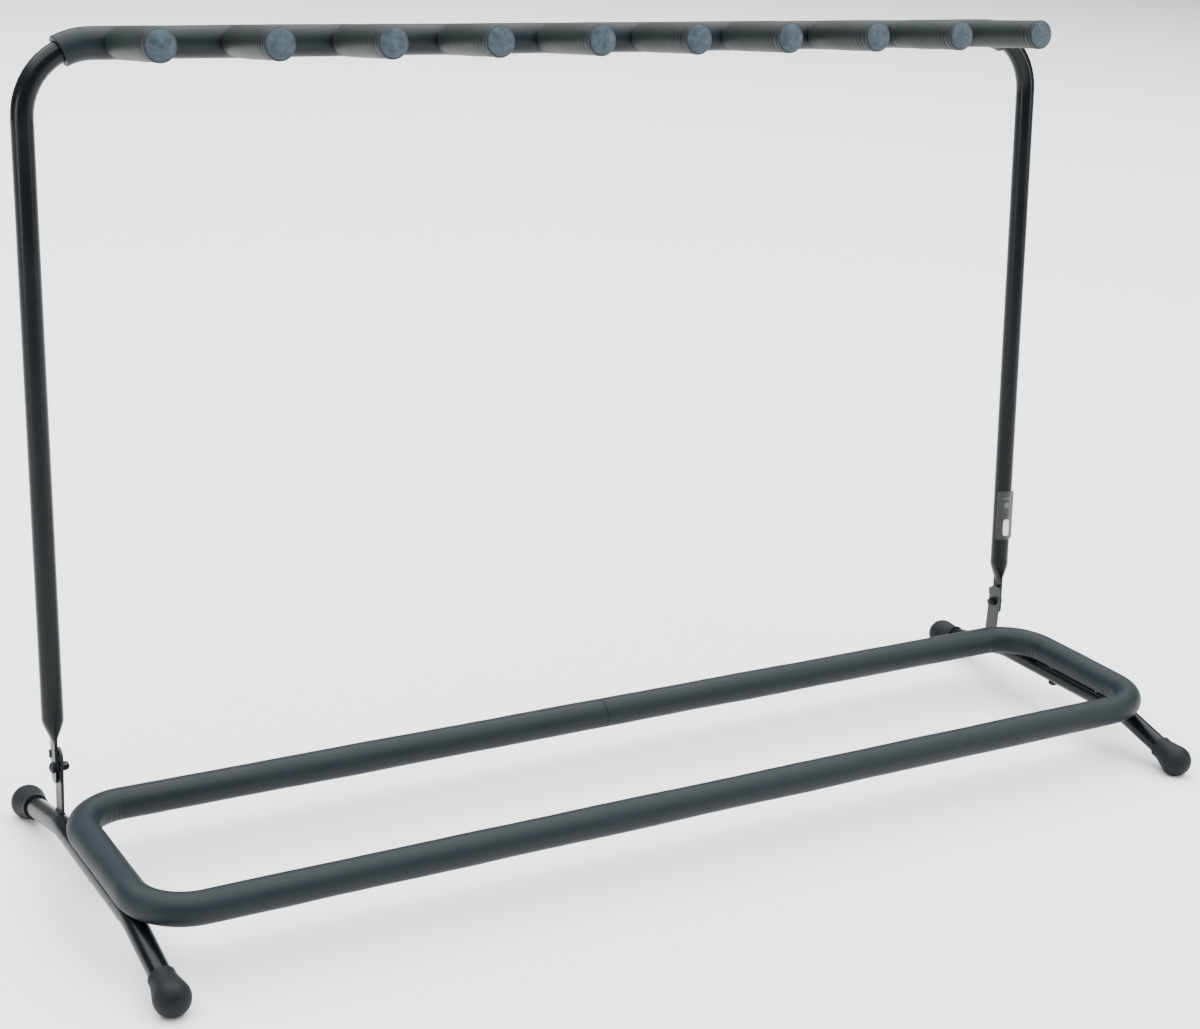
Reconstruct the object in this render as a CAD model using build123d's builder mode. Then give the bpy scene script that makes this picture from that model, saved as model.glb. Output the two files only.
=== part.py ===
from build123d import *

import os
from math import acos, atan2, cos, degrees, hypot, radians, sin

# A folding rack that holds a row of guitars. A padded loop of tube on two bent legs carries
# the bodies, and a leaning upper frame with padded pegs keeps the necks apart. The upper frame
# folds forward on a pivot at the foot of each post.
#
# Frame: X along the rack, Y to the back (the pegs point to -Y), Z up, millimetres.
# The origin is on the floor, midway between the four feet.

os.makedirs("parts", exist_ok=True)

# ---- tube and foam ----
tube_od = 19.0
tube_wall = 1.2
loop_foam_wall = 5.0
bar_foam_wall = 4.5
peg_foam_wall = 4.25

# ---- upper frame ----
post_x = 530.0            # posts, legs and loop ends all stand on this line, left and right
bar_z = 698.0             # height of the bar's axis
pivot_z = 85.0
pivot_y = 102.6
frame_lean = 5.0          # degrees the upper frame leans back
frame_bend_r = 60.0
bar_foam_turn = 27.0      # degrees of each corner bend that the bar foam covers

# ---- pegs ----
peg_count = 10
peg_pitch = 100.0
peg_rise = 1.2            # degrees above square to the frame
peg_length = 103.0        # bar axis to the end of the tube and its foam
peg_foam_gap = 2.0        # bare tube left between the bar's foam and the peg's
cap_rim = 5.0             # straight side of the end cap
cap_dome = 4.0            # how far its face bulges
cap_plug_length = 16.0
cap_plug_wall = 2.0
cap_stand = 0.25          # how far the rim stands proud of the foam
cap_groove = 0.8          # width and depth of the groove round the cap
cap_groove_at = 2.0

# ---- base ----
loop_rear_y = 65.5
loop_front_y = -136.0
loop_z = 58.0
loop_bend_r = 46.0
leg_press = 3.5           # how far the legs press into the loop's foam
leg_bend_rear_y = 82.0
leg_bend_front_y = -98.0
leg_bend_r = 80.0
foot_y = 186.0            # middle of each foot's pad
foot_wall = 6.0           # rubber round the tube, at the bulb and at the collar
foot_collar_wall = 2.0
foot_flat = 0.8           # depth worn flat where a foot meets the floor
foot_collar_back = 24.0   # pad centre back to the mouth of the foot
foot_collar_length = 6.0
foot_floor = 2.0          # rubber between the pad centre and the tube's end
loop_joint_gap = 0.2
loop_spigot_length = 80.0
spigot_wall = 1.5

# ---- pivots, M5 ----
bolt_d = 5.0
bolt_head_d = 9.5
bolt_head_h = 2.75
nut_flats = 8.0
nut_h = 5.0
nut_collar_d = 7.4
nut_collar_h = 1.5
bolt_end = 1.0            # thread that stands out of the nut
socket_flats = 3.0
socket_depth = 1.6
washer_d = 10.0
washer_t = 1.0
hole_clearance = 0.15     # radial, in the fixed holes
run_clearance = 0.05      # radial and sideways, where the frame turns
tab_width = 12.0
tab_thickness = 3.0
tab_tail = 14.0           # pivot to the lower end of the flattened tube
neck_up = 22.0            # pivot up to where the flattened end starts to swell
taper_length = 26.0
tab_overlap = 10.0        # how far the flat part runs up into the swelling part
strap_width = 16.0
strap_thickness = 2.5
strap_top = 18.0
stop_low = 7.0            # the stop ear's lower and upper edge, above the pivot
stop_high = 14.0
stop_thickness = 2.5
stop_reach = 1.0          # how far the ear passes the tab

# ---- leg screws, M6 ----
screw_d = 6.0
screw_head_d = 10.5
screw_head_h = 3.3
screw_head_round = 2.3
screw_y = (-70.0, 0.0)
spacer_d = 12.0
rivet_nut_d = 9.0
rivet_nut_length = 12.0

# ---- label ----
label_up = 72.0           # pivot up to the label's lower edge, along the post
label_height = 54.0
label_from = -75.0        # where it is stuck round the post, in degrees from straight ahead,
label_to = 15.0           # counted towards the end of the rack
label_flap = 7.0          # loose end that stands off the post
label_thickness = 0.3

# ---- worked out ----
tube_r = tube_od / 2
bore_r = tube_r - tube_wall
loop_foam_r = tube_r + loop_foam_wall
bar_foam_r = tube_r + bar_foam_wall
peg_foam_r = tube_r + peg_foam_wall
lean = radians(frame_lean)
bar_up = (bar_z - pivot_z) / cos(lean)
bar_y = pivot_y + bar_up * sin(lean)
bar_half = post_x - frame_bend_r
peg_angle = radians(frame_lean + peg_rise)
leg_z = loop_z - loop_foam_r - tube_r + leg_press
foot_r = tube_r + foot_wall
foot_collar_r = tube_r + foot_collar_wall
foot_z = foot_r - foot_flat
spacer_top = loop_z - tube_r
sides = (("left", -1), ("right", 1))


def on_frame(x, up):
    """Point on the upper frame's plane: along the bar, and up the posts from the pivots."""
    return (x, pivot_y + up * sin(lean), pivot_z + up * cos(lean))


def leg_point(y, z):
    """Point of a leg's side plane, as a vector without its X."""
    return Vector(0, y, z)


frame_plane = Plane(on_frame(0, 0), x_dir=(1, 0, 0), z_dir=(0, -cos(lean), sin(lean)))
post_direction = (0, sin(lean), cos(lean))
peg_direction = (0, -cos(peg_angle), sin(peg_angle))

# A leg's path, from inside the front foot over both bends to inside the rear foot.
front_bend = leg_point(leg_bend_front_y, leg_z)
rear_bend = leg_point(leg_bend_rear_y, leg_z)
front_foot = leg_point(-foot_y, foot_z)
rear_foot = leg_point(foot_y, foot_z)
front_direction = (front_foot - front_bend).normalized()
rear_direction = (rear_foot - rear_bend).normalized()
leg_route = [
    front_foot - front_direction * foot_floor,
    front_bend,
    rear_bend,
    rear_foot - rear_direction * foot_floor,
]


def finish(name, label):
    """Label a finished piece and write it out."""
    name.part.label = label
    export_step(name.part, f"parts/{label}.step")


# ---- legs: a bent tube on each side, drilled for the screws that hold the loop ----
for side, way in sides:
    x = way * post_x
    with BuildPart() as leg:
        with BuildLine() as leg_path:
            FilletPolyline([point + Vector(x, 0, 0) for point in leg_route], radius=leg_bend_r)
        with BuildSketch(Plane(leg_path.line @ 0, z_dir=leg_path.line % 0)):
            Circle(tube_r)
            Circle(bore_r, mode=Mode.SUBTRACT)
        sweep(path=leg_path.wire())
        with BuildSketch(Plane.XY.offset(leg_z)):
            with Locations([(x, y) for y in screw_y]):
                Circle(screw_d / 2 + hole_clearance)
        extrude(amount=tube_od, both=True, mode=Mode.SUBTRACT)
    finish(leg, f"{side}_leg")

# ---- feet: rubber bulbs on the leg ends, worn flat on the floor ----
foot_reach = hypot(foot_collar_back - foot_collar_length, foot_collar_r)
flare_angle = atan2(foot_collar_r, foot_collar_length - foot_collar_back) - acos(foot_r / foot_reach)
for side, way in sides:
    for end, centre, direction in (
        ("front", front_foot, front_direction),
        ("rear", rear_foot, rear_direction),
    ):
        foot_plane = Plane(centre + Vector(way * post_x, 0, 0), x_dir=direction, z_dir=(1, 0, 0))
        with BuildPart() as foot:
            with BuildSketch(foot_plane):
                with BuildLine():
                    bulb = CenterArc((0, 0), foot_r, 0, degrees(flare_angle))
                    Polyline(
                        bulb @ 1,
                        (foot_collar_length - foot_collar_back, foot_collar_r),
                        (-foot_collar_back, foot_collar_r),
                        (-foot_collar_back, tube_r),
                        (-foot_floor, tube_r),
                        (-foot_floor, 0),
                        bulb @ 0,
                    )
                make_face()
            revolve(axis=Axis(foot_plane.origin, foot_plane.x_dir))
            split(bisect_by=Plane.XY, keep=Keep.TOP)
        finish(foot, f"{end}_{side}_foot")

# ---- base loop: one bent tube whose ends meet on a spigot in the middle of the rear run ----
loop_route = [
    (loop_joint_gap / 2, loop_rear_y),
    (post_x, loop_rear_y),
    (post_x, loop_front_y),
    (-post_x, loop_front_y),
    (-post_x, loop_rear_y),
    (-loop_joint_gap / 2, loop_rear_y),
]
screw_places = [(way * post_x, y) for side, way in sides for y in screw_y]

with BuildPart() as base_loop_tube:
    with BuildLine(Plane.XY.offset(loop_z)) as loop_path:
        FilletPolyline(loop_route, radius=loop_bend_r)
    with BuildSketch(Plane(loop_path.line @ 0, z_dir=loop_path.line % 0)):
        Circle(tube_r)
        Circle(bore_r, mode=Mode.SUBTRACT)
    sweep(path=loop_path.wire())
    with BuildSketch(Plane.XY.offset(loop_z)):
        with Locations(screw_places):
            Circle(rivet_nut_d / 2)
    extrude(amount=-tube_r, mode=Mode.SUBTRACT)
finish(base_loop_tube, "base_loop_tube")

with BuildPart() as base_loop_spigot:
    with BuildSketch(Plane((0, loop_rear_y, loop_z), x_dir=(0, 1, 0), z_dir=(1, 0, 0))):
        Circle(bore_r - run_clearance)
        Circle(bore_r - run_clearance - spigot_wall, mode=Mode.SUBTRACT)
    extrude(amount=loop_spigot_length / 2, both=True)
finish(base_loop_spigot, "base_loop_spigot")

with BuildPart() as base_loop_foam:
    with BuildLine(Plane.XY.offset(loop_z)) as loop_foam_path:
        FilletPolyline(loop_route, radius=loop_bend_r)
    with BuildSketch(Plane(loop_foam_path.line @ 0, z_dir=loop_foam_path.line % 0)):
        Circle(loop_foam_r)
        Circle(tube_r, mode=Mode.SUBTRACT)
    sweep(path=loop_foam_path.wire())
    with BuildSketch(Plane.XY.offset(loop_z)):
        with Locations(screw_places):
            Circle(spacer_d / 2)
    extrude(amount=-loop_foam_r, mode=Mode.SUBTRACT)
    with BuildSketch(Plane((0, loop_front_y, leg_z), x_dir=(1, 0, 0), z_dir=(0, 1, 0))):
        with Locations((-post_x, 0), (post_x, 0)):
            Circle(tube_r)
    extrude(amount=loop_rear_y - loop_front_y, mode=Mode.SUBTRACT)
finish(base_loop_foam, "base_loop_foam")

# ---- what holds the loop down: spacers through the foam, rivet nuts in the tube, screws ----
with BuildPart() as leg_spacers:
    with BuildSketch(Plane.XY.offset(leg_z)):
        with Locations(screw_places):
            Circle(spacer_d / 2)
            Circle(screw_d / 2 + hole_clearance, mode=Mode.SUBTRACT)
    extrude(amount=loop_z - leg_z)
    with BuildSketch(Plane.XY.offset(spacer_top)):
        with Locations(screw_places):
            Circle(rivet_nut_d / 2)
    extrude(amount=tube_r, mode=Mode.SUBTRACT)
    for z in (leg_z, loop_z):
        with BuildSketch(Plane((0, loop_front_y, z), x_dir=(1, 0, 0), z_dir=(0, 1, 0))):
            with Locations((-post_x, 0), (post_x, 0)):
                Circle(tube_r)
        extrude(amount=loop_rear_y - loop_front_y, mode=Mode.SUBTRACT)
finish(leg_spacers, "leg_spacers")

with BuildPart() as rivet_nuts:
    with BuildSketch(Plane.XY.offset(spacer_top)):
        with Locations(screw_places):
            Circle(rivet_nut_d / 2)
            Circle(screw_d / 2, mode=Mode.SUBTRACT)
    extrude(amount=rivet_nut_length)
finish(rivet_nuts, "rivet_nuts")

for side, way in sides:
    with BuildPart() as leg_screws:
        with BuildSketch(Plane.XY.offset(leg_z - tube_r)):
            with Locations([(way * post_x, y) for y in screw_y]):
                Circle(screw_d / 2)
        extrude(amount=spacer_top + rivet_nut_length - leg_z + tube_r)
        with BuildSketch(Plane.XY.offset(leg_z - tube_r)):
            with Locations([(way * post_x, y) for y in screw_y]):
                Circle(screw_head_d / 2)
        extrude(amount=-screw_head_h)
        fillet(leg_screws.faces().group_by(Axis.Z)[0].edges(), radius=screw_head_round)
    finish(leg_screws, f"{side}_leg_screws")

# ---- hinge straps: flat bars welded on top of the legs, each with an ear that stops the frame ----
strap_gap = tab_thickness / 2 + run_clearance + washer_t
strap_round = strap_width / 2
strap_height = pivot_z + strap_top - strap_round - leg_z
stop_back = tab_width / 2 + run_clearance + stop_thickness / 2
for side, way in sides:
    x = way * post_x
    with BuildPart() as strap:
        with BuildSketch(Plane((x - way * strap_gap, pivot_y, pivot_z), x_dir=(0, 1, 0), z_dir=(1, 0, 0))):
            with Locations((0, strap_top - strap_round)):
                Circle(strap_round)
            with Locations((0, strap_top - strap_round - strap_height / 2)):
                Rectangle(strap_width, strap_height)
            Circle(bolt_d / 2 + hole_clearance, mode=Mode.SUBTRACT)
        extrude(amount=-way * strap_thickness)
        with BuildLine() as saddle_path:
            FilletPolyline([point + Vector(x, 0, 0) for point in leg_route], radius=leg_bend_r)
        with BuildSketch(Plane(saddle_path.line @ 0, z_dir=saddle_path.line % 0)):
            Circle(tube_r)
        sweep(path=saddle_path.wire(), mode=Mode.SUBTRACT)
        inner_x = x - way * (strap_gap + strap_thickness)
        with BuildSketch(Plane((inner_x, pivot_y, pivot_z), x_dir=post_direction, z_dir=(1, 0, 0))):
            with Locations(((stop_low + stop_high) / 2, -stop_back)):
                Rectangle(stop_high - stop_low, stop_thickness)
        extrude(amount=way * (strap_thickness + strap_gap + tab_thickness / 2 + stop_reach))
    finish(strap, f"{side}_hinge_strap")

# ---- pivots: a domed bolt, three washers and a lock nut hold each post to its strap ----
head_base = tab_thickness / 2 + run_clearance + washer_t
strap_inner = strap_gap + strap_thickness
nut_seat = strap_inner + washer_t
for side, way in sides:
    # Local X runs outwards along the bolt, from the middle of the flattened post.
    bolt_plane = Plane((way * post_x, pivot_y, pivot_z), x_dir=(way, 0, 0), z_dir=(0, 1, 0))
    with BuildPart() as bolt:
        with BuildSketch(bolt_plane):
            with BuildLine():
                dome = EllipticalCenterArc((head_base, 0), bolt_head_h, bolt_head_d / 2, arc_size=90)
                Polyline(
                    dome @ 1,
                    (head_base, bolt_d / 2),
                    (-nut_seat - nut_h - bolt_end, bolt_d / 2),
                    (-nut_seat - nut_h - bolt_end, 0),
                    dome @ 0,
                )
            make_face()
        revolve(axis=Axis(bolt_plane.origin, bolt_plane.x_dir))
        with BuildSketch(Plane(bolt_plane.origin, z_dir=(way, 0, 0)).offset(head_base + bolt_head_h)):
            RegularPolygon(socket_flats / 2, 6, major_radius=False)
        extrude(amount=-socket_depth, mode=Mode.SUBTRACT)
    finish(bolt, f"{side}_pivot_bolt")

    across = Plane(bolt_plane.origin, z_dir=(way, 0, 0))
    with BuildPart() as washers:
        for start in (head_base - washer_t, -strap_gap, -nut_seat):
            with BuildSketch(across.offset(start)):
                Circle(washer_d / 2)
                Circle(bolt_d / 2 + hole_clearance, mode=Mode.SUBTRACT)
            extrude(amount=washer_t)
    finish(washers, f"{side}_pivot_washers")

    with BuildPart() as nut:
        with BuildSketch(across.offset(-nut_seat)):
            RegularPolygon(nut_flats / 2, 6, major_radius=False)
            Circle(bolt_d / 2, mode=Mode.SUBTRACT)
        extrude(amount=-(nut_h - nut_collar_h))
        with BuildSketch(across.offset(-nut_seat - nut_h + nut_collar_h)):
            Circle(nut_collar_d / 2)
            Circle(bolt_d / 2, mode=Mode.SUBTRACT)
        extrude(amount=-nut_collar_h)
    finish(nut, f"{side}_lock_nut")

# ---- upper frame: one bent tube, its ends pressed down to flat tabs ----
with BuildPart() as upper_frame_tube:
    with BuildLine(frame_plane) as frame_path:
        FilletPolyline(
            (-post_x, neck_up + taper_length),
            (-post_x, bar_up),
            (post_x, bar_up),
            (post_x, neck_up + taper_length),
            radius=frame_bend_r,
        )
    with BuildSketch(Plane(frame_path.line @ 0, z_dir=frame_path.line % 0)):
        Circle(tube_r)
        Circle(bore_r, mode=Mode.SUBTRACT)
    sweep(path=frame_path.wire())
    # Share of the taper's length, then half-sizes across and front to back, as shares of
    # what is left between the tab and the full tube.
    taper_stations = ((1, 1, 1), (0.72, 0.9, 1.05), (0.35, 0.4, 0.5), (0, 0, 0))
    for x in (-post_x, post_x):
        for rise, across_share, depth_share in taper_stations:
            height = neck_up + rise * taper_length
            half_across = tab_thickness / 2 + across_share * (tube_r - tab_thickness / 2)
            half_depth = tab_width / 2 + depth_share * (tube_r - tab_width / 2)
            with BuildSketch(Plane(on_frame(x, height), x_dir=(1, 0, 0), z_dir=post_direction)):
                Ellipse(half_across, half_depth)
        loft()
        with BuildSketch(Plane(on_frame(x, 0), x_dir=post_direction, z_dir=(1, 0, 0))):
            with Locations(((neck_up + tab_overlap - tab_tail) / 2, 0)):
                SlotOverall(neck_up + tab_overlap + tab_tail, tab_width)
        extrude(amount=tab_thickness / 2, both=True)
        with BuildSketch(Plane(on_frame(x, 0), x_dir=post_direction, z_dir=(1, 0, 0))):
            Circle(bolt_d / 2 + run_clearance)
        extrude(amount=tube_r, both=True, mode=Mode.SUBTRACT)
finish(upper_frame_tube, "upper_frame_tube")

# ---- bar foam: a sleeve over the bar and the start of each bend, holed for the pegs ----
peg_places = [(i - (peg_count - 1) / 2) * peg_pitch for i in range(peg_count)]
with BuildPart() as bar_foam:
    with BuildLine(frame_plane) as foam_path:
        CenterArc((-bar_half, bar_up - frame_bend_r), frame_bend_r, 90 + bar_foam_turn, -bar_foam_turn)
        Line((-bar_half, bar_up), (bar_half, bar_up))
        CenterArc((bar_half, bar_up - frame_bend_r), frame_bend_r, 90, -bar_foam_turn)
    with BuildSketch(Plane(foam_path.wire() @ 0, z_dir=foam_path.wire() % 0)):
        Circle(bar_foam_r)
        Circle(tube_r, mode=Mode.SUBTRACT)
    sweep(path=foam_path.wire())
    for x in peg_places:
        with BuildSketch(Plane((x, bar_y, bar_z), x_dir=(1, 0, 0), z_dir=peg_direction)):
            Circle(tube_r)
        extrude(amount=peg_length, mode=Mode.SUBTRACT)
finish(bar_foam, "bar_foam")

# ---- pegs: a tube welded square to the bar, its foam sleeve and a domed end cap ----
cap_r = peg_foam_r + cap_stand
for i, x in enumerate(peg_places, start=1):
    peg_plane = Plane((x, bar_y, bar_z), x_dir=(1, 0, 0), z_dir=peg_direction)

    with BuildPart() as peg_tube:
        with BuildSketch(peg_plane):
            Circle(tube_r)
            Circle(bore_r, mode=Mode.SUBTRACT)
        extrude(amount=peg_length)
        with BuildSketch(Plane((x, bar_y, bar_z), x_dir=(0, 1, 0), z_dir=(1, 0, 0))):
            Circle(tube_r)
        extrude(amount=tube_od, both=True, mode=Mode.SUBTRACT)
    finish(peg_tube, f"peg_{i:02d}_tube")

    with BuildPart() as peg_foam:
        with BuildSketch(peg_plane.offset(bar_foam_r + peg_foam_gap)):
            Circle(peg_foam_r)
            Circle(tube_r, mode=Mode.SUBTRACT)
        extrude(amount=peg_length - bar_foam_r - peg_foam_gap)
    finish(peg_foam, f"peg_{i:02d}_foam")

    with BuildPart() as cap:
        with BuildSketch(Plane(peg_plane.origin, x_dir=peg_direction, z_dir=(1, 0, 0))):
            with BuildLine():
                face = EllipticalCenterArc((peg_length + cap_rim, 0), cap_dome, cap_r, arc_size=90)
                Polyline(
                    face @ 1,
                    (peg_length + cap_groove_at + cap_groove, cap_r),
                    (peg_length + cap_groove_at + cap_groove, cap_r - cap_groove),
                    (peg_length + cap_groove_at, cap_r - cap_groove),
                    (peg_length + cap_groove_at, cap_r),
                    (peg_length, cap_r),
                    (peg_length, bore_r),
                    (peg_length - cap_plug_length, bore_r),
                    (peg_length - cap_plug_length, bore_r - cap_plug_wall),
                    (peg_length, bore_r - cap_plug_wall),
                    (peg_length, 0),
                    face @ 0,
                )
            make_face()
        revolve(axis=Axis(peg_plane.origin, peg_direction))
    finish(cap, f"peg_{i:02d}_cap")

# ---- label: a thin blank sticker wrapped round the front of the right post ----
with BuildPart() as post_label:
    with BuildSketch(
        Plane(on_frame(post_x, label_up), x_dir=(0, -cos(lean), sin(lean)), z_dir=post_direction)
    ):
        with BuildLine():
            wrap = CenterArc((0, 0), tube_r + label_thickness / 2, label_from, label_to - label_from)
            PolarLine(wrap @ 1, label_flap, angle=label_to + 90)
        trace(line_width=label_thickness)
    extrude(amount=label_height)
finish(post_label, "post_label")
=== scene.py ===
from math import cos, exp, pi, radians, sin, sqrt, tan, tau

import bpy
from mathutils import Matrix, Vector, noise


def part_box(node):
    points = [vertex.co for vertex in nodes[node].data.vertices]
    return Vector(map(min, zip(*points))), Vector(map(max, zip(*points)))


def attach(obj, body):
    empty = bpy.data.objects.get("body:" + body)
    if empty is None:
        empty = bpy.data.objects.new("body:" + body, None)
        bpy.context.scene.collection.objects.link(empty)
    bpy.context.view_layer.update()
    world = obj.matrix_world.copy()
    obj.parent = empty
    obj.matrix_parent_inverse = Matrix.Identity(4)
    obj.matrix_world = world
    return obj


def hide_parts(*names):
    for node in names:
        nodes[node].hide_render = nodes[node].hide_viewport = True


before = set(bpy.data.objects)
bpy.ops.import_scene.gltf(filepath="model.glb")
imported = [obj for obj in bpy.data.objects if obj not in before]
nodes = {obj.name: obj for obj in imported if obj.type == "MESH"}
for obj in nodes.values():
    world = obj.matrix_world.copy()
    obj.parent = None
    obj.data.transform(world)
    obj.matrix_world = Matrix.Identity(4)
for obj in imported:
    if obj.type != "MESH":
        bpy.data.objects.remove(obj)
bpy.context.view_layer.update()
sides = (("left", -1), ("right", 1))

# ---- Legs -------------------------------------------------------------------------------
# Two bent steel tubes, bare metal cleaned, powder coated gloss black and baked. The coat
# has a slight orange peel, and dust and fingermarks dull it in patches.


def shader_group(name, inputs, outputs):
    """An empty node group with those sockets, and its input and output nodes."""
    group = bpy.data.node_groups.new(name, "ShaderNodeTree")
    for label, kind, value in inputs:
        socket = group.interface.new_socket(label, in_out="INPUT", socket_type=kind)
        socket.default_value = value
    for label, kind in outputs:
        group.interface.new_socket(label, in_out="OUTPUT", socket_type=kind)
    return group, group.nodes.new("NodeGroupInput"), group.nodes.new("NodeGroupOutput")


def noise_node(group, scale, detail=3.0, roughness=0.55):
    """A noise in the rack's own metres; scale is a number of cells per metre or a socket."""
    place = group.nodes.new("ShaderNodeTexCoord")
    node = group.nodes.new("ShaderNodeTexNoise")
    node.inputs["Detail"].default_value = detail
    node.inputs["Roughness"].default_value = roughness
    group.links.new(place.outputs["Object"], node.inputs["Vector"])
    if isinstance(scale, (int, float)):
        node.inputs["Scale"].default_value = scale
    else:
        group.links.new(scale, node.inputs["Scale"])
    return node.outputs["Fac"]


def map_node(group, value, low, high, to_low, to_high):
    """Maps a socket from low..high to to_low..to_high, which are numbers or sockets."""
    node = group.nodes.new("ShaderNodeMapRange")
    group.links.new(value, node.inputs["Value"])
    for label, bound in (("From Min", low), ("From Max", high), ("To Min", to_low), ("To Max", to_high)):
        if isinstance(bound, (int, float)):
            node.inputs[label].default_value = bound
        else:
            group.links.new(bound, node.inputs[label])
    return node.outputs["Result"]


def mix_node(group, factor, first, second):
    """Mixes two colours, each a socket or an RGBA, by a socket from 0 to 1."""
    node = group.nodes.new("ShaderNodeMix")
    node.data_type = "RGBA"
    group.links.new(factor, node.inputs["Factor"])
    for socket, colour in ((node.inputs[6], first), (node.inputs[7], second)):
        if isinstance(colour, tuple):
            socket.default_value = colour
        else:
            group.links.new(colour, socket)
    return node.outputs[2]


def math_node(group, operation, first, second):
    """One sum of two numbers or sockets."""
    node = group.nodes.new("ShaderNodeMath")
    node.operation = operation
    for socket, value in zip(node.inputs, (first, second)):
        if isinstance(value, (int, float)):
            socket.default_value = value
        else:
            group.links.new(value, socket)
    return node.outputs[0]


COLOUR, NUMBER = "NodeSocketColor", "NodeSocketFloat"

# Dust and fingermarks: patches of a second colour and of a duller finish.
handling, given, made = shader_group(
    "handling_marks",
    [
        ("Clean Color", COLOUR, (0.02, 0.02, 0.02, 1)),
        ("Dusty Color", COLOUR, (0.1, 0.1, 0.1, 1)),
        ("Amount", NUMBER, 0.5),
        ("Patch Scale", NUMBER, 22.0),
        ("Clean Roughness", NUMBER, 0.25),
        ("Dusty Roughness", NUMBER, 0.5),
    ],
    [("Color", COLOUR), ("Roughness", NUMBER)],
)
patches = noise_node(handling, given.outputs["Patch Scale"], detail=6.0, roughness=0.65)
specks = noise_node(handling, 1400.0, detail=2.0)
mottle = math_node(handling, "MULTIPLY", map_node(handling, patches, 0.38, 0.72, 0.0, 1.0),
                   map_node(handling, specks, 0.3, 0.7, 0.45, 1.0))
mask = math_node(handling, "MULTIPLY", mottle, given.outputs["Amount"])
handling.links.new(mix_node(handling, mask, given.outputs["Clean Color"], given.outputs["Dusty Color"]),
                   made.inputs["Color"])
handling.links.new(map_node(handling, mottle, 0.0, 1.0, given.outputs["Clean Roughness"],
                            given.outputs["Dusty Roughness"]), made.inputs["Roughness"])

# Grain: a fine and a coarse unevenness, as one height from 0 to 1.
grain, given, made = shader_group(
    "surface_grain",
    [("Fine Scale", NUMBER, 900.0), ("Coarse Scale", NUMBER, 90.0), ("Coarse Share", NUMBER, 0.5)],
    [("Height", NUMBER)],
)
fine = noise_node(grain, given.outputs["Fine Scale"], detail=2.0)
coarse = noise_node(grain, given.outputs["Coarse Scale"], detail=2.0)
share = given.outputs["Coarse Share"]
grain.links.new(math_node(grain, "ADD", math_node(grain, "MULTIPLY", coarse, share),
                          math_node(grain, "MULTIPLY", fine, math_node(grain, "SUBTRACT", 1.0, share))),
                made.inputs["Height"])


def place_group(material, group, **values):
    """Puts a node group in a material and sets its inputs."""
    node = material.node_tree.nodes.new("ShaderNodeGroup")
    node.node_tree = group
    for label, value in values.items():
        node.inputs[label.replace("_", " ")].default_value = value
    return node


def marked_material(name, clean, dusty, amount, roughness, grain_scales, depth, patch_scale=22.0):
    """A material with handling marks for its colour and roughness and with a grain bump.

    roughness is (clean, dusty), grain_scales are (fine, coarse, coarse share), depth is in
    metres. Returns the material and its shader, for what is the same all over.
    """
    material = bpy.data.materials.new(name)
    material.use_nodes = True
    shader = material.node_tree.nodes["Principled BSDF"]
    link = material.node_tree.links.new
    marks = place_group(
        material, handling, Clean_Color=(*clean, 1), Dusty_Color=(*dusty, 1), Amount=amount,
        Patch_Scale=patch_scale, Clean_Roughness=roughness[0], Dusty_Roughness=roughness[1],
    )
    texture = place_group(
        material, grain, Fine_Scale=grain_scales[0], Coarse_Scale=grain_scales[1],
        Coarse_Share=grain_scales[2],
    )
    bump = material.node_tree.nodes.new("ShaderNodeBump")
    bump.inputs["Strength"].default_value = 1.0
    bump.inputs["Distance"].default_value = depth
    link(marks.outputs["Color"], shader.inputs["Base Color"])
    link(marks.outputs["Roughness"], shader.inputs["Roughness"])
    link(texture.outputs["Height"], bump.inputs["Height"])
    link(bump.outputs["Normal"], shader.inputs["Normal"])
    return material, shader


def give(material, *names):
    """Gives CAD nodes a material."""
    for name in names:
        nodes[name].data.materials.clear()
        nodes[name].data.materials.append(material)


powder_coat, shader = marked_material(
    "gloss_black_powder_coat", clean=(0.0013, 0.0026, 0.0035), dusty=(0.0066, 0.0095, 0.0112),
    amount=0.3, roughness=(0.24, 0.4), grain_scales=(1100.0, 260.0, 0.7), depth=0.00008,
)
shader.inputs["Specular IOR Level"].default_value = 0.16
shader.inputs["Coat Weight"].default_value = 0.03
shader.inputs["Coat Roughness"].default_value = 0.1
give(powder_coat, "left_leg", "right_leg")

# ---- Feet -------------------------------------------------------------------------------
# Moulded rubber bulbs pushed on the leg ends. The rubber is black, with a dry, chalky bloom
# that lies on it in patches.
rubber, shader = marked_material(
    "black_rubber", clean=(0.0022, 0.0034, 0.0043), dusty=(0.0125, 0.0165, 0.0195),
    amount=0.6, roughness=(0.55, 0.8), grain_scales=(1500.0, 420.0, 0.5), depth=0.00025,
    patch_scale=60.0,
)
shader.inputs["Specular IOR Level"].default_value = 0.18
give(rubber, *(f"{end}_{side}_foot" for side, way in sides for end in ("front", "rear")))

# ---- Base loop --------------------------------------------------------------------------
# One tube bent to a rounded rectangle. Its ends meet on a plain steel spigot in the middle
# of the rear run, so the long foam sleeve goes on before the loop is closed.
give(powder_coat, "base_loop_tube")
plain_steel, shader = marked_material(
    "zinc_plated_steel", clean=(0.52, 0.53, 0.55), dusty=(0.36, 0.36, 0.36),
    amount=0.6, roughness=(0.28, 0.5), grain_scales=(900.0, 120.0, 0.3), depth=0.00006,
)
shader.inputs["Metallic"].default_value = 1.0
give(plain_steel, "base_loop_spigot")

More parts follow.
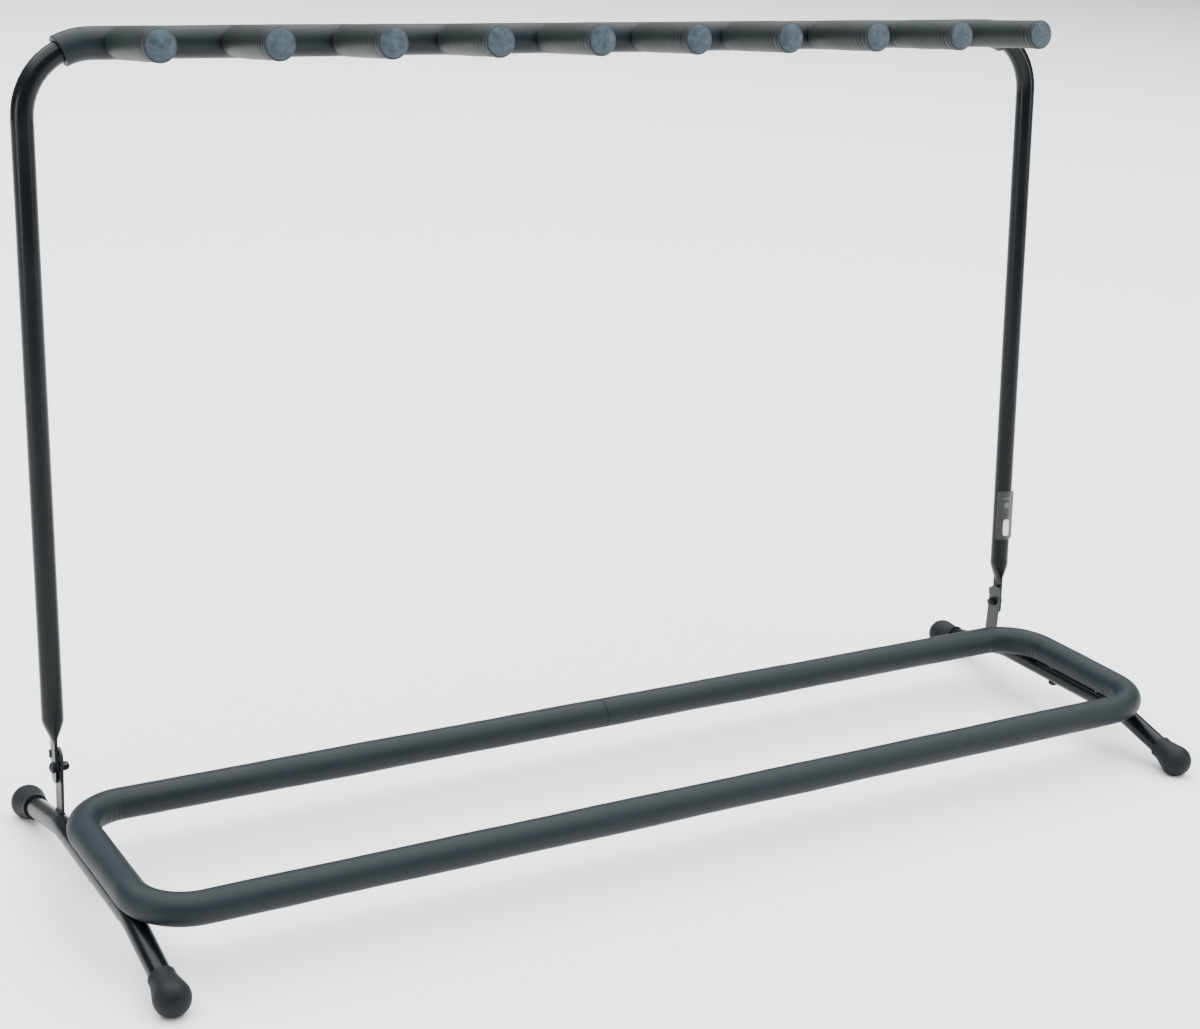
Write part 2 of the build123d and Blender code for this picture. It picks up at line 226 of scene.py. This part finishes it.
# ---- Base loop foam ---------------------------------------------------------------------
# A closed-cell foam pipe sleeve, cut square, its ends butted at the joint of the tube. It
# is packed in fine folds inside each bend, drawn thin outside it, and pressed on the legs.
tube_r = 0.0095
loop_bend = 0.046
loop_low, loop_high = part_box("base_loop_foam")
loop_foam_r = (loop_high[2] - loop_low[2]) / 2
loop_z = (loop_high[2] + loop_low[2]) / 2
loop_end_x = loop_high[0] - loop_foam_r
loop_rear_y = loop_high[1] - loop_foam_r
loop_front_y = loop_low[1] + loop_foam_r
butt_gap = 0.0002
bore_clear = 0.0001         # between a tube and the foam on it
leg_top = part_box("left_leg")[1][2]


def tube_line(corners, radius, step):
    """Points and directions along straight runs joined by bends, at most step apart."""
    line = []
    start = corners[0]
    for before, corner, after in zip(corners, corners[1:], corners[2:]):
        towards, away = (corner - before).normalized(), (after - corner).normalized()
        turn = towards.angle(away)
        reach = radius * tan(turn / 2)
        bend_start, bend_end = corner - towards * reach, corner + away * reach
        centre = bend_start + (away - towards * cos(turn)).normalized() * radius
        line += straight_line(start, bend_start, step)
        pieces = max(2, round(radius * turn / (step / 2)))
        for k in range(pieces):
            share = k / pieces
            spoke = (bend_start - centre) * cos(turn * share) + towards * radius * sin(turn * share)
            heading = towards * cos(turn * share) + (centre - bend_start).normalized() * sin(turn * share)
            line.append((centre + spoke, heading, True))
        start = bend_end
    line += straight_line(start, corners[-1], step)
    last = (corners[-1] - corners[-2]).normalized()
    return line + [(corners[-1], last, False)]


def straight_line(start, end, step):
    """Points and directions along one run, without its end."""
    length = (end - start).length
    if length < 1e-6:
        return []
    pieces = max(1, round(length / step))
    return [(start.lerp(end, k / pieces), (end - start) / length, False) for k in range(pieces)]


def foam_sleeve(name, line, normal, outer_r, inner_r, shape, material,
                around=56, lip=0.0008, settle=None, slit=None):
    """A closed sleeve of foam round a line, with softly rounded, square-cut ends.

    shape(along, angle, point, bent) is how far the foam stands out of its plain radius, and
    settle(point) moves a point off what the foam is pressed on. slit=(angle, half_width, depth)
    presses a fine closed slit along the sleeve at that angle. The float attribute "cut" marks
    the cut ends, and "fold" how deep a point lies below the plain radius, in a fold or hollow;
    the foam material paints shade there.
    """
    angles = [tau * n / around for n in range(around)]
    if slit:
        slit_angle, slit_half, slit_depth = slit
        lips = (slit_angle - slit_half / outer_r, slit_angle + slit_half / outer_r)
        angles = sorted({*angles, slit_angle, *lips})
        around = len(angles)
    first, last = line[0], line[-1]
    rounds = (0.0, 0.15, 0.5, 1.0)
    full = [(first[0] + first[1] * lip * share, first[1], False) for share in rounds]
    full += line[1:-1]
    full += [(last[0] - last[1] * lip * share, last[1], False) for share in reversed(rounds)]
    points, cut, fold = [], [], []
    along = 0.0
    for k, (centre, heading, bent) in enumerate(full):
        if k:
            along += (centre - full[k - 1][0]).length
        side = normal.cross(heading).normalized()
        from_end = min(k, len(full) - 1 - k)
        share = 1 - rounds[from_end] if from_end < len(rounds) else 0.0
        inset = lip * (1 - sqrt(max(0.0, 1 - share * share)))
        for angle in angles:
            spoke = side * cos(angle) + normal * sin(angle)
            stand = shape(along, angle, centre + spoke * outer_r, bent)
            if slit and abs(angle - slit_angle) < 1e-6:
                stand -= slit_depth
            point = centre + spoke * (outer_r + stand - inset)
            points.append(settle(point) if settle else point)
            cut.append(1.0 if inset > lip * 0.2 else 0.0)
            # How deep the point lies in a fold or hollow; the foam material paints shade by it.
            fold.append(max(0.0, -stand))
    inner = full[::-4]
    if (inner[-1][0] - full[0][0]).length > 1e-6:
        inner.append(full[0])
    for centre, heading, bent in inner:
        side = normal.cross(heading).normalized()
        for angle in angles:
            points.append(centre + (side * cos(angle) + normal * sin(angle)) * inner_r)
            cut.append(1.0)
            fold.append(0.0)
    rings = len(full) + len(inner)
    faces = []
    for k in range(rings):
        here, ahead = k * around, (k + 1) % rings * around
        for n in range(around):
            m = (n + 1) % around
            faces.append((here + n, here + m, ahead + m, ahead + n))
    mesh = bpy.data.meshes.new(name)
    mesh.from_pydata(points, [], faces)
    for label, values in (("cut", cut), ("fold", fold)):
        mesh.attributes.new(label, "FLOAT", "POINT").data.foreach_set("value", values)
    mesh.materials.append(material)
    mesh.shade_smooth()
    mesh.set_sharp_from_angle(angle=radians(60))
    piece = bpy.data.objects.new(name, mesh)
    bpy.context.scene.collection.objects.link(piece)
    return piece


def attribute_mask(material, label, low, high):
    """A mask from 0 to 1 read from a float attribute of the mesh."""
    node = material.node_tree.nodes.new("ShaderNodeAttribute")
    node.attribute_name = label
    return map_node(material.node_tree, node.outputs["Fac"], low, high, 0.0, 1.0)


def foam_material(name, clean, dusty, cut_colour):
    """Closed-cell foam: a satin skin with fine pores, paler where it is cut, with painted shade darkening
    it in folds and hollows.
    """
    material, shader = marked_material(
        name, clean=clean, dusty=dusty, amount=0.45, roughness=(0.46, 0.62),
        grain_scales=(2200.0, 240.0, 0.45), depth=0.00022, patch_scale=14.0,
    )
    tree = material.node_tree
    skin = shader.inputs["Base Color"].links[0].from_socket
    # Painted shade: the skin colour is darkened towards a third of its clean colour where the sleeve lies
    # deep in a fold or hollow.
    shade_in_folds = mix_node(tree, attribute_mask(material, "fold", 0.0002, 0.0012), skin,
                      tuple(c * 0.35 for c in clean) + (1,))
    cut = mix_node(tree, attribute_mask(material, "cut", 0.0, 1.0), shade_in_folds, (*cut_colour, 1))
    tree.links.new(cut, shader.inputs["Base Color"])
    shader.inputs["Specular IOR Level"].default_value = 0.18
    return material


def lumps(point, size, height):
    """Slow unevenness of the foam: lumps of that size and height, in metres."""
    return height * noise.noise(point / size)


def bend_folds(angle, along, inner_angle, height, pitch):
    """Fine folds on the inside of a bend, and a thinner wall on its outside."""
    inside = cos(angle - inner_angle)
    if inside < 0:
        return height * 0.5 * inside
    uneven = noise.noise(Vector((along / pitch * 0.6, 3.7, inner_angle)))
    ripple = sin(tau * along / pitch + 2.5 * uneven)
    return height * inside ** 4 * (ripple - 0.4)


loop_foam_colour = foam_material(
    "loop_foam", clean=(0.0056, 0.0098, 0.0128), dusty=(0.0112, 0.0172, 0.0214),
    cut_colour=(0.005, 0.007, 0.008),
)
loop_corners = [
    Vector((butt_gap / 2, loop_rear_y, loop_z)),
    Vector((loop_end_x, loop_rear_y, loop_z)),
    Vector((loop_end_x, loop_front_y, loop_z)),
    Vector((-loop_end_x, loop_front_y, loop_z)),
    Vector((-loop_end_x, loop_rear_y, loop_z)),
    Vector((-butt_gap / 2, loop_rear_y, loop_z)),
]
# The route turns clockwise seen from above, so the inside of every bend is on its right.
LOOP_INSIDE = pi


def loop_foam_shape(along, angle, point, bent):
    stand = lumps(point, 0.09, 0.0005) + lumps(point, 0.022, 0.00018)
    if bent:
        stand += bend_folds(angle, along, LOOP_INSIDE, 0.0003, 0.0075)
    return stand


def off_the_legs(point):
    """Presses the foam to the top of the leg that it lies on."""
    leg_z = leg_top - tube_r
    for way in (-1, 1):
        across = point.x - way * loop_end_x
        if abs(across) < tube_r:
            crown = leg_z + sqrt((tube_r + bore_clear) ** 2 - across ** 2)
            if point.z < crown:
                return Vector((point.x, point.y, crown))
    return point


loop_foam = foam_sleeve(
    "loop_foam_sleeve", tube_line(loop_corners, loop_bend, 0.004), Vector((0, 0, 1)),
    loop_foam_r - 0.0003, tube_r + bore_clear, loop_foam_shape, loop_foam_colour, lip=0.0003,
    settle=off_the_legs,
)
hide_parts("base_loop_foam")
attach(loop_foam, "base")

# ---- Leg screws, spacers and rivet nuts --------------------------------------------------
# Black screws come up through each leg and a steel spacer in the foam into rivet nuts set
# in the loop's tube. The blacking is dark and thin, and dulled in patches.
give(plain_steel, "leg_spacers", "rivet_nuts")
blacked_steel, shader = marked_material(
    "blacked_steel", clean=(0.006, 0.0066, 0.007), dusty=(0.035, 0.036, 0.035),
    amount=0.5, roughness=(0.32, 0.5), grain_scales=(1600.0, 500.0, 0.4), depth=0.00005,
    patch_scale=180.0,
)
shader.inputs["Metallic"].default_value = 0.55
give(blacked_steel, "left_leg_screws", "right_leg_screws")

# ---- Hinge straps -----------------------------------------------------------------------
# Short flat bars, sheared and drilled, each with an ear welded on that stops the frame
# upright. They are welded on the legs and painted with them, but the flats are duller.
strap_paint, shader = marked_material(
    "satin_grey_strap_paint", clean=(0.006, 0.009, 0.0108), dusty=(0.019, 0.0255, 0.0285),
    amount=0.45, roughness=(0.36, 0.55), grain_scales=(1300.0, 300.0, 0.6), depth=0.00012,
    patch_scale=70.0,
)
shader.inputs["Specular IOR Level"].default_value = 0.35
give(strap_paint, "left_hinge_strap", "right_hinge_strap")

leg_bend_y, foot_y, foot_z = 0.082, 0.186, 0.0147
leg_z = leg_top - tube_r
leg_fall = (leg_z - foot_z) / (foot_y - leg_bend_y)


def leg_crown(x, y, leg_x):
    """Height of the leg's top beside its crown line, behind its rear bend."""
    axis_z = leg_z - leg_fall * (y - leg_bend_y)
    return axis_z + sqrt(tube_r ** 2 - (x - leg_x) ** 2) * sqrt(1 + leg_fall ** 2)


def weld_bead(name, route, radius, ripple, material):
    """A closed bead of weld along a route, thick and thin as the arc was moved on."""
    around = 10
    points, faces = [], []
    count = len(route)
    travelled = 0.0
    for k, place in enumerate(route):
        heading = (route[(k + 1) % count] - route[k - 1]).normalized()
        travelled += (place - route[k - 1]).length if k else 0.0
        side = heading.cross(Vector((0, 0, 1))).normalized()
        up = side.cross(heading)
        thick = radius * (1 + 0.16 * sin(tau * travelled / ripple) + 0.12 * noise.noise(place / 0.003))
        for n in range(around):
            angle = tau * n / around
            points.append(place + (side * cos(angle) + up * sin(angle)) * thick)
    for k in range(count):
        here, ahead = k * around, (k + 1) % count * around
        for n in range(around):
            m = (n + 1) % around
            faces.append((here + n, ahead + n, ahead + m, here + m))
    mesh = bpy.data.meshes.new(name)
    mesh.from_pydata(points, [], faces)
    mesh.materials.append(material)
    mesh.shade_smooth()
    bead = bpy.data.objects.new(name, mesh)
    bpy.context.scene.collection.objects.link(bead)
    return bead


strap_thickness = 0.0025
strap_width = 0.016
weld_r = 0.0012
weld_step, weld_ripple = 0.0006, 0.0022
for side, way in sides:
    strap_low, strap_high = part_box(f"{side}_hinge_strap")
    leg_x = way * loop_end_x
    inner_face = strap_low[0] if way > 0 else strap_high[0]
    outer_face = inner_face + way * strap_thickness
    front_y, rear_y = strap_low[1], strap_low[1] + strap_width
    outline = [(inner_face, front_y), (outer_face, front_y), (outer_face, rear_y), (inner_face, rear_y)]
    route = []
    for (x0, y0), (x1, y1) in zip(outline, outline[1:] + outline[:1]):
        steps = max(3, round(sqrt((x1 - x0) ** 2 + (y1 - y0) ** 2) / weld_step))
        for k in range(steps):
            x, y = x0 + (x1 - x0) * k / steps, y0 + (y1 - y0) * k / steps
            route.append(Vector((x, y, leg_crown(x, y, leg_x))))
    bead = weld_bead(f"{side}_strap_weld", route, weld_r, weld_ripple, powder_coat)
    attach(bead, "base")

# ---- Pivots -----------------------------------------------------------------------------
# A domed bolt, three washers and a lock nut on each side, all blacked steel, hold the
# flattened foot of each post to its strap so that the frame can fold.
for side, way in sides:
    give(blacked_steel, f"{side}_pivot_bolt", f"{side}_pivot_washers", f"{side}_lock_nut")

# ---- Upper frame ------------------------------------------------------------------------
# One tube bent at two corners, its ends pressed flat, drilled and rounded for the pivots.
# The pegs are welded on it before it is coated.
give(powder_coat, "upper_frame_tube")

# ---- Bar foam ---------------------------------------------------------------------------
# A foam sleeve, slit along its back to go over the bar and its pegs, and glued shut. It runs
# a little way into both corner bends, where it ends square.
bar_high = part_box("bar_foam")[1]
frame_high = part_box("upper_frame_tube")[1]
pivot = Vector((0, 0.1026, 0.085))
lean = radians(5)
frame_bend = 0.060
bar_foam_turn = radians(27)
bar_foam_r = tube_r + 0.0045
bar_z = bar_high[2] - bar_foam_r
bar_y = pivot.y + (bar_z - pivot.z) * tan(lean)
post_x = frame_high[0] - tube_r
bar_half = post_x - frame_bend
up_frame = Vector((0, sin(lean), cos(lean)))
out_of_frame = Vector((0, -cos(lean), sin(lean)))
bar_middle = Vector((0, bar_y, bar_z))
peg_numbers = range(1, 11)
peg_rise = radians(1.2)
peg_direction = Vector((0, -cos(lean + peg_rise), sin(lean + peg_rise)))
peg_roots = [
    Vector(((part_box(f"peg_{i:02d}_tube")[0][0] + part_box(f"peg_{i:02d}_tube")[1][0]) / 2, bar_y, bar_z))
    for i in peg_numbers
]

bar_foam_colour = foam_material(
    "bar_foam", clean=(0.0056, 0.0098, 0.013), dusty=(0.0108, 0.0166, 0.0208),
    cut_colour=(0.0026, 0.0036, 0.004),
)


def bar_point(x, drop):
    return bar_middle + Vector((x, 0, 0)) - up_frame * drop


bend_corner_x = bar_half + frame_bend * tan(bar_foam_turn / 2)
foam_end_x = bar_half + frame_bend * sin(bar_foam_turn)
foam_end_drop = frame_bend * (1 - cos(bar_foam_turn))
bar_corners = [
    bar_point(-foam_end_x, foam_end_drop),
    bar_point(-bend_corner_x, 0),
    bar_point(bend_corner_x, 0),
    bar_point(foam_end_x, foam_end_drop),
]


def bar_foam_shape(along, angle, point, bent):
    stand = lumps(point, 0.07, 0.0004) + lumps(point, 0.02, 0.00015)
    # The foam is drawn in round each peg, where the sleeve is holed over the weld.
    for root in peg_roots:
        away = point - root
        from_peg = (away - peg_direction * away.dot(peg_direction)).length
        if away.dot(peg_direction) > 0 and from_peg < 0.03:
            stand -= 0.0009 * exp(-(((from_peg - tube_r) / 0.005) ** 2))
    return stand


# Straight behind the bar, where the slit's two lips meet.
bar_slit_angle = 1.5 * pi
bar_slit_half, bar_slit_depth = 0.0005, 0.0016
bar_foam = foam_sleeve(
    "bar_foam_sleeve", tube_line(bar_corners, frame_bend, 0.003), out_of_frame,
    bar_foam_r - 0.0002, tube_r + bore_clear, bar_foam_shape, bar_foam_colour,
    slit=(bar_slit_angle, bar_slit_half, bar_slit_depth),
)
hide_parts("bar_foam")
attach(bar_foam, "upper_frame")

# ---- Pegs -------------------------------------------------------------------------------
# Ten short tubes welded square to the bar. A foam sleeve is pushed over each, and a rubber
# cap with a domed face is pressed into its end and squeezes the sleeve into small rings.
peg_length = 0.103
peg_foam_r = tube_r + 0.00425
peg_foam_start = bar_foam_r + 0.002
give(powder_coat, *(f"peg_{i:02d}_tube" for i in peg_numbers))

peg_foam_colour = foam_material(
    "peg_foam", clean=(0.0068, 0.0112, 0.0108), dusty=(0.0126, 0.019, 0.0184),
    cut_colour=(0.026, 0.034, 0.034),
)


def ring_fold(along, place, width, depth):
    """One fold that runs round a sleeve."""
    return -depth * exp(-(((along - place) / width) ** 2))


def peg_foam_shape_for(root):
    length = peg_length - peg_foam_start

    def shape(along, angle, point, bent):
        stand = lumps(point, 0.035, 0.00035) + lumps(point, 0.012, 0.00012)
        sway = 0.0012 * noise.noise(Vector((cos(angle), sin(angle), root.x * 9)))
        for place, depth in ((0.0035, 0.0004), (0.009, 0.00022), (length - 0.004, 0.0005),
                             (length - 0.0085, 0.0003), (length - 0.0145, 0.00018)):
            stand += ring_fold(along + sway, place, 0.0011, depth)
        return stand

    return shape


def lathe(name, profile, origin, axis, material, around=72):
    """A turned or moulded piece: a closed profile of (along, radius) points run round an axis.

    The float attribute "out" is how far each point lies from the axis.
    """
    side = Vector((1, 0, 0))
    normal = axis.cross(side).normalized()
    points, rings = [], []
    for along, radius in profile:
        if radius < 1e-7:
            rings.append([len(points)] * around)
            points.append(origin + axis * along)
            continue
        rings.append([len(points) + n for n in range(around)])
        for n in range(around):
            angle = tau * n / around
            points.append(origin + axis * along + (side * cos(angle) + normal * sin(angle)) * radius)
    faces = []
    for here, ahead in zip(rings, rings[1:]):
        for n in range(around):
            m = (n + 1) % around
            corners = [here[n], here[m], ahead[m], ahead[n]]
            faces.append(tuple(dict.fromkeys(corners)))
    mesh = bpy.data.meshes.new(name)
    mesh.from_pydata(points, [], faces)
    out = [((point - origin) - axis * (point - origin).dot(axis)).length for point in points]
    mesh.attributes.new("out", "FLOAT", "POINT").data.foreach_set("value", out)
    mesh.materials.append(material)
    mesh.shade_smooth()
    mesh.set_sharp_from_angle(angle=radians(50))
    piece = bpy.data.objects.new(name, mesh)
    bpy.context.scene.collection.objects.link(piece)
    return piece


cap_r = peg_foam_r + 0.00025
cap_rubber, shader = marked_material(
    "blue_grey_cap_rubber", clean=(0.02, 0.034, 0.046), dusty=(0.095, 0.124, 0.15),
    amount=0.7, roughness=(0.5, 0.7), grain_scales=(1700.0, 520.0, 0.55), depth=0.0002,
    patch_scale=130.0,
)
shader.inputs["Specular IOR Level"].default_value = 0.25
cap_tree = cap_rubber.node_tree
face_colour = shader.inputs["Base Color"].links[0].from_socket
# Painted shade: a near-black ring is painted over the cap's side, its groove and the outer edge of its
# dome, round the paler face.
rim_shade_mask = attribute_mask(cap_rubber, "out", cap_r - 0.0021, cap_r - 0.0008)
painted_rim_shade = (0.009, 0.013, 0.016, 1)
rim_shaded = mix_node(cap_tree, rim_shade_mask, face_colour, painted_rim_shade)
cap_tree.links.new(rim_shaded, shader.inputs["Base Color"])
tube_wall = 0.0012
cap_plug_r = tube_r - tube_wall
cap_plug_length = 0.016
cap_hollow_r = 0.00625
cap_rim, cap_dome = 0.005, 0.004
groove, groove_at = 0.0008, 0.002
edge = 0.0004               # rounding of the cap's edges
face_steps = 20
cap_profile = [
    (0, 0), (0, cap_hollow_r), (-cap_plug_length, cap_hollow_r),
    (-cap_plug_length, cap_plug_r - edge), (edge - cap_plug_length, cap_plug_r),
    (0, cap_plug_r), (0, cap_r - edge), (edge * 0.3, cap_r - edge * 0.3), (edge, cap_r),
    (groove_at - edge / 2, cap_r), (groove_at, cap_r - edge / 2),
    (groove_at + edge / 2, cap_r - groove), (groove_at + groove, cap_r - groove),
    (groove_at + groove + edge / 2, cap_r - edge / 2), (groove_at + groove + edge, cap_r),
]
cap_profile += [
    (cap_rim + cap_dome * sin(pi / 2 * k / face_steps), cap_r * cos(pi / 2 * k / face_steps))
    for k in range(face_steps)
]
cap_profile += [(cap_rim + cap_dome, 0)]

peg_step = 0.0009
for i, root in zip(peg_numbers, peg_roots):
    peg_end = root + peg_direction * peg_length
    peg_line = straight_line(root + peg_direction * peg_foam_start, peg_end, peg_step)
    peg_line.append((peg_end, peg_direction, False))
    sleeve = foam_sleeve(
        f"peg_{i:02d}_foam_sleeve", peg_line, Vector((1, 0, 0)), peg_foam_r - 0.0001, tube_r + bore_clear,
        peg_foam_shape_for(root), peg_foam_colour, around=48, lip=0.0006,
    )
    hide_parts(f"peg_{i:02d}_foam")
    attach(sleeve, "upper_frame")
    cap = lathe(f"peg_{i:02d}_end_cap", cap_profile, peg_end, peg_direction, cap_rubber)
    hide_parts(f"peg_{i:02d}_cap")
    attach(cap, "upper_frame")

# ---- Label ------------------------------------------------------------------------------
# A thin film sticker with rounded corners, wrapped round the front of the right post, with
# one edge that has come loose. It is blank but for plain pale blocks.
label_thickness = 0.0003
label_from, label_to = radians(-75), radians(15)
label_flap = 0.007
label_height = 0.054
label_corner = 0.003
label_up = 0.072
label_foot = Vector((post_x, pivot.y, pivot.z)) + up_frame * label_up
wrapped = (label_to - label_from) * (tube_r + label_thickness)
label_width = wrapped + label_flap


def label_point(across, up, off_post):
    """A place on the sticker: across from its stuck edge, up, and out from the post."""
    radius = tube_r + off_post
    turned = label_from + min(across, wrapped) / (tube_r + label_thickness)
    spoke = out_of_frame * cos(turned) + Vector((1, 0, 0)) * sin(turned)
    along = out_of_frame * -sin(turned) + Vector((1, 0, 0)) * cos(turned)
    loose = max(0.0, across - wrapped)
    curl = 0.06 * loose + 3.0 * loose ** 2 * (0.7 + 0.3 * sin(up / label_height * 5))
    return label_foot + spoke * (radius - curl) + along * loose + up_frame * up


def label_mesh():
    """The sticker as a closed thin sheet whose corners are cut round."""
    columns, rows = 44, 54
    points, film_uv, faces = [], [], []
    for off_post in (0.00004, label_thickness):
        for row in range(rows + 1):
            up = label_height * row / rows
            from_edge = min(up, label_height - up)
            trim = 0.0
            if from_edge < label_corner:
                trim = label_corner - sqrt(label_corner ** 2 - (label_corner - from_edge) ** 2)
            for column in range(columns + 1):
                across = trim + (label_width - 2 * trim) * column / columns
                points.append(label_point(across, up, off_post))
                film_uv.append((across / label_width, up / label_height))
    side = (rows + 1) * (columns + 1)
    for row in range(rows):
        for column in range(columns):
            a = row * (columns + 1) + column
            b = a + columns + 1
            faces.append((a, b, b + 1, a + 1))
            faces.append((side + a, side + a + 1, side + b + 1, side + b))
    rim = list(range(columns))
    rim += [row * (columns + 1) + columns for row in range(rows)]
    rim += [rows * (columns + 1) + column for column in range(columns, 0, -1)]
    rim += [row * (columns + 1) for row in range(rows, 0, -1)]
    for here, ahead in zip(rim, rim[1:] + rim[:1]):
        faces.append((here, ahead, side + ahead, side + here))
    mesh = bpy.data.meshes.new("post_sticker")
    mesh.from_pydata(points, [], faces)
    layer = mesh.uv_layers.new(name="film")
    for loop in mesh.loops:
        layer.data[loop.index].uv = film_uv[loop.vertex_index]
    mesh.shade_smooth()
    mesh.set_sharp_from_angle(angle=radians(50))
    return mesh


# A printed block: a rounded rectangle on the sticker, as a mask.
block, given, made = shader_group(
    "printed_block",
    [("Middle Across", NUMBER, 0.5), ("Middle Up", NUMBER, 0.5), ("Half Width", NUMBER, 0.2),
     ("Half Height", NUMBER, 0.1)],
    [("Mask", NUMBER)],
)
film_place = block.nodes.new("ShaderNodeUVMap")
film_place.uv_map = "film"
parts = block.nodes.new("ShaderNodeSeparateXYZ")
block.links.new(film_place.outputs["UV"], parts.inputs["Vector"])
reach = []
for axis, middle, half in (("X", "Middle Across", "Half Width"), ("Y", "Middle Up", "Half Height")):
    from_middle = math_node(block, "SUBTRACT", parts.outputs[axis], given.outputs[middle])
    offset = math_node(block, "ABSOLUTE", from_middle, 0.0)
    reach.append(math_node(block, "DIVIDE", offset, given.outputs[half]))
rounded = math_node(block, "ADD", *(math_node(block, "POWER", share, 4.0) for share in reach))
block.links.new(map_node(block, rounded, 0.9, 1.1, 1.0, 0.0), made.inputs["Mask"])

label_film, shader = marked_material(
    "dark_label_film", clean=(0.003, 0.004, 0.0046), dusty=(0.012, 0.0145, 0.016),
    amount=0.4, roughness=(0.26, 0.42), grain_scales=(900.0, 200.0, 0.5), depth=0.00003,
)
label_tree = label_film.node_tree
film_colour = shader.inputs["Base Color"].links[0].from_socket
for middle_across, middle_up, half_width, half_height, ink in (
    (0.52, 0.25, 0.17, 0.17, (0.55, 0.57, 0.58, 1)),
    (0.5, 0.72, 0.13, 0.055, (0.06, 0.072, 0.076, 1)),
    (0.5, 0.86, 0.2, 0.018, (0.045, 0.054, 0.058, 1)),
):
    printed = place_group(label_film, block, Middle_Across=middle_across, Middle_Up=middle_up,
                          Half_Width=half_width, Half_Height=half_height)
    film_colour = mix_node(label_tree, printed.outputs["Mask"], film_colour, ink)
label_tree.links.new(film_colour, shader.inputs["Base Color"])
sticker = bpy.data.objects.new("post_sticker", label_mesh())
sticker.data.materials.append(label_film)
bpy.context.scene.collection.objects.link(sticker)
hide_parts("post_label")
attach(sticker, "upper_frame")

# ---- Studio -----------------------------------------------------------------------------
# A plain pale paper floor under one wide soft light. Two smaller lights, at the right and
# low at the left, draw the narrow highlights along the tubes.
floor_mesh = bpy.data.meshes.new("studio_floor")
floor_half = 10.0
floor_corners = [
    (way_x * floor_half, way_y * floor_half, 0)
    for way_x, way_y in ((-1, -1), (1, -1), (1, 1), (-1, 1))
]
floor_mesh.from_pydata(floor_corners, [], [(0, 1, 2, 3)])
floor = bpy.data.objects.new("studio_floor", floor_mesh)
bpy.context.scene.collection.objects.link(floor)
paper = bpy.data.materials.new("pale_studio_paper")
paper.use_nodes = True
paper_shader = paper.node_tree.nodes["Principled BSDF"]
paper_shader.inputs["Base Color"].default_value = (0.86, 0.86, 0.86, 1)
paper_shader.inputs["Roughness"].default_value = 0.9
paper_shader.inputs["Specular IOR Level"].default_value = 0.1
floor_mesh.materials.append(paper)

# The room round the floor looks as pale as the floor does, but lights the rack dimly.
world = bpy.data.worlds.new("studio")
world.use_nodes = True
room = world.node_tree.nodes["Background"]
room.inputs["Color"].default_value = (1, 1, 1, 1)
room_light, room_seen = 0.35, 1.3
seen = world.node_tree.nodes.new("ShaderNodeLightPath").outputs["Is Camera Ray"]
strength = map_node(world.node_tree, seen, 0.0, 1.0, room_light, room_seen)
world.node_tree.links.new(strength, room.inputs["Strength"])
bpy.context.scene.world = world


def soft_light(name, place, target, width, height, power):
    """A rectangular area light that faces a point."""
    data = bpy.data.lights.new(name, "AREA")
    data.shape = "RECTANGLE"
    data.size = width
    data.size_y = height
    data.energy = power
    lamp = bpy.data.objects.new(name, data)
    lamp.location = place
    lamp.rotation_euler = (Vector(target) - Vector(place)).to_track_quat("-Z", "Y").to_euler()
    bpy.context.scene.collection.objects.link(lamp)


soft_light("top_light", (0.6, 1.2, 5.5), (0.6, 1.2, 0), 11.0, 11.0, 2300)
soft_light("right_light", (2.8, -2.4, 1.5), (0, 0, 0.4), 0.8, 1.8, 60)
soft_light("left_light", (-3.0, -0.4, 0.9), (-0.4, 0, 0.2), 0.8, 1.2, 30)

# ---- Camera -----------------------------------------------------------------------------
# At chest height, in front of the rack and to its left, looking slightly down.
camera_data = bpy.data.cameras.new("camera")
camera_data.sensor_width = 36.0
camera_data.lens = 66.21
camera_data.shift_y = -0.016
camera = bpy.data.objects.new("camera", camera_data)
camera.matrix_world = (
    Matrix.Translation((-1.04923, -1.61841, 0.92908))
    @ Matrix.Rotation(radians(-31.556), 4, "Z")
    @ Matrix.Rotation(radians(90 - 18.082), 4, "X")
    @ Matrix.Rotation(radians(3.312), 4, "Z")
)
bpy.context.scene.collection.objects.link(camera)
bpy.context.scene.camera = camera
